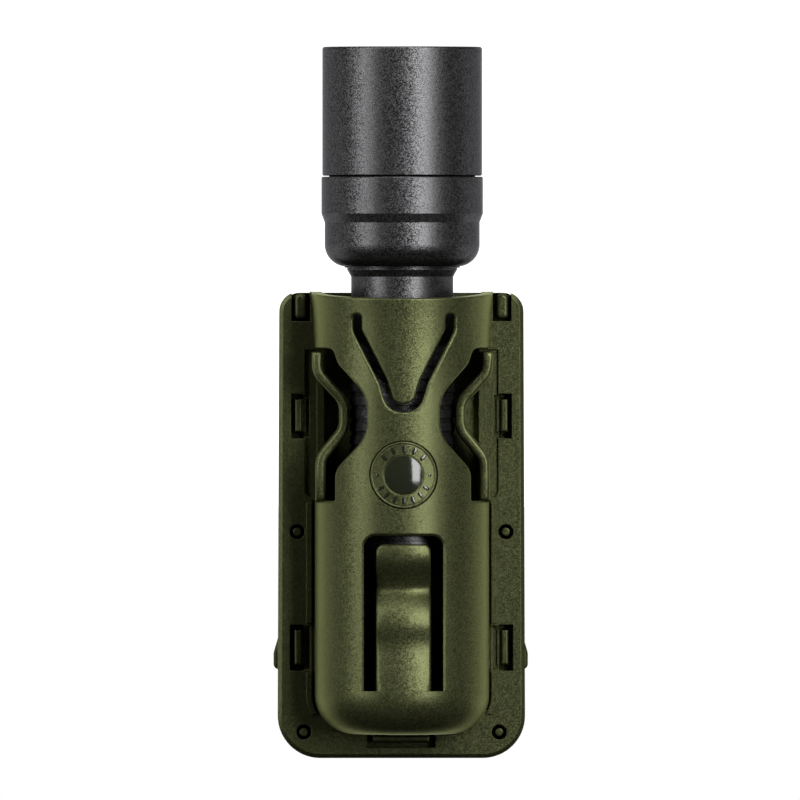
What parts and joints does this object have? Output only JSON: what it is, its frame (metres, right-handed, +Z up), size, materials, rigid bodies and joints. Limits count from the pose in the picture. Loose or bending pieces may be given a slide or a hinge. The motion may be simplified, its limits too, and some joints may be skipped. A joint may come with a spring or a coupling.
{
  "type": "tactical flashlight in a belt holster",
  "caption": "Black focusing torch with tail switch, carried head up in a snap-together polymer belt holster with sprung retention and a swivelling belt clip.",
  "frame": {"origin": "centre of the belt channel on the clip face that the belt lies against, on the swivel's axis", "axes": "+Z up along the torch towards its lens, +Y towards the wearer (out of the clip face), +X to the right of the holster seen from the front"},
  "size_m": [0.0584, 0.0534, 0.1631],
  "materials": {
    "anodised_black": "bead blasted, black anodised",
    "black_rubber": "moulded rubber",
    "clear_lens": "polished clear acrylic",
    "led_dome": "yellow phosphor under a clear dome",
    "white_plastic": "white moulding",
    "bare_aluminium": "turned",
    "board_white": "white solder mask",
    "board_green": "green solder mask",
    "lead_sleeve": "insulated lead",
    "brass": "turned brass",
    "gold_spring": "gold plated spring wire",
    "cell_wrap": "shrink sleeve",
    "black_plastic": "moulded",
    "olive_polymer": "fine textured moulding, olive drab",
    "badge_gloss": "polished moulding",
    "black_steel": "black oxide",
    "spring_steel": "bright spring steel"
  },
  "bodies": {
    "clip": {"clip_frame": "olive_polymer", "clip_hinge_pin": "spring_steel", "clip_spring": "spring_steel"},
    "clip_lever": {"clip_lever": "olive_polymer"},
    "holster": {"front_housing": "olive_polymer", "badge": "badge_gloss", "back_plate": "olive_polymer", "swivel_hub": "olive_polymer", "hub_screws": "black_steel", "wave_washer": "spring_steel", "retaining_washer": "spring_steel", "hub_center_screw": "black_steel"},
    "upper_tongue": {"upper_tongue": "olive_polymer"},
    "lower_tongue": {"lower_tongue": "olive_polymer"},
    "right_grip_arm": {"right_grip_arm": "olive_polymer"},
    "left_grip_arm": {"left_grip_arm": "olive_polymer"},
    "torch": {"head_housing": "anodised_black", "sleeve_o_ring": "black_rubber", "led_pillar": "bare_aluminium", "led_board": "board_white", "led_emitter": "led_dome", "led_spacer": "white_plastic", "led_leads": "lead_sleeve", "driver_board": "board_green", "driver_ring": "brass", "contact_spring": "gold_spring", "body_tube": "anodised_black", "tail_o_ring": "black_rubber", "battery_cell": "cell_wrap"},
    "focus_head": {"focus_sleeve": "anodised_black", "bezel_ring": "anodised_black", "lens_gasket": "black_rubber", "focus_lens": "clear_lens"},
    "tail_cap": {"tail_cap": "anodised_black", "switch_module": "black_plastic", "switch_ring": "brass", "tail_spring": "gold_spring", "switch_spring": "spring_steel"},
    "tail_button": {"tail_button": "black_rubber", "switch_plunger": "white_plastic"}
  },
  "joints": [
    {"name": "clip_open", "type": "hinge", "parent": "clip", "child": "clip_lever", "pos_m": [0, 0.007, 0.034], "axis": [1, 0, 0], "range_deg": [0, 35], "stiffness_Nm_per_rad": 0.3, "springref_deg": -22.92},
    {"name": "holster_swivel", "type": "hinge", "parent": "clip", "child": "holster", "pos_m": [0, -0.0027, 0], "axis": [0, 1, 0], "continuous": true},
    {"name": "upper_tongue_flex", "type": "hinge", "parent": "holster", "child": "upper_tongue", "pos_m": [0, -0.042, 0.04405], "axis": [-1, 0, 0], "range_deg": [0, 5], "stiffness_Nm_per_rad": 0.6},
    {"name": "lower_tongue_flex", "type": "hinge", "parent": "holster", "child": "lower_tongue", "pos_m": [0, -0.0411, -0.04115], "axis": [1, 0, 0], "range_deg": [0, 5], "stiffness_Nm_per_rad": 0.8},
    {"name": "right_arm_flex", "type": "hinge", "parent": "holster", "child": "right_grip_arm", "pos_m": [0.0199, -0.02085, 0.00226], "axis": [0, 1, 0], "range_deg": [0, 4.5], "stiffness_Nm_per_rad": 0.8},
    {"name": "left_arm_flex", "type": "hinge", "parent": "holster", "child": "left_grip_arm", "pos_m": [-0.0199, -0.02085, 0.00226], "axis": [0, -1, 0], "range_deg": [0, 4.5], "stiffness_Nm_per_rad": 0.8},
    {"name": "torch_draw", "type": "slide", "parent": "holster", "child": "torch", "axis": [0, 0, 1], "range_m": [0, 0.11]},
    {"name": "focus_slide", "type": "slide", "parent": "torch", "child": "focus_head", "axis": [0, 0, 1], "range_m": [0, 0.008]},
    {"name": "tail_cap_twist", "type": "hinge", "parent": "torch", "child": "tail_cap", "pos_m": [0, -0.0217, -0.03], "axis": [0, 0, 1], "range_deg": [0, 90]},
    {"name": "tail_button_press", "type": "slide", "parent": "tail_cap", "child": "tail_button", "axis": [0, 0, 1], "range_m": [0, 0.0015], "stiffness_N_per_m": 2500, "deforming": ["switch_spring"]}
  ]
}
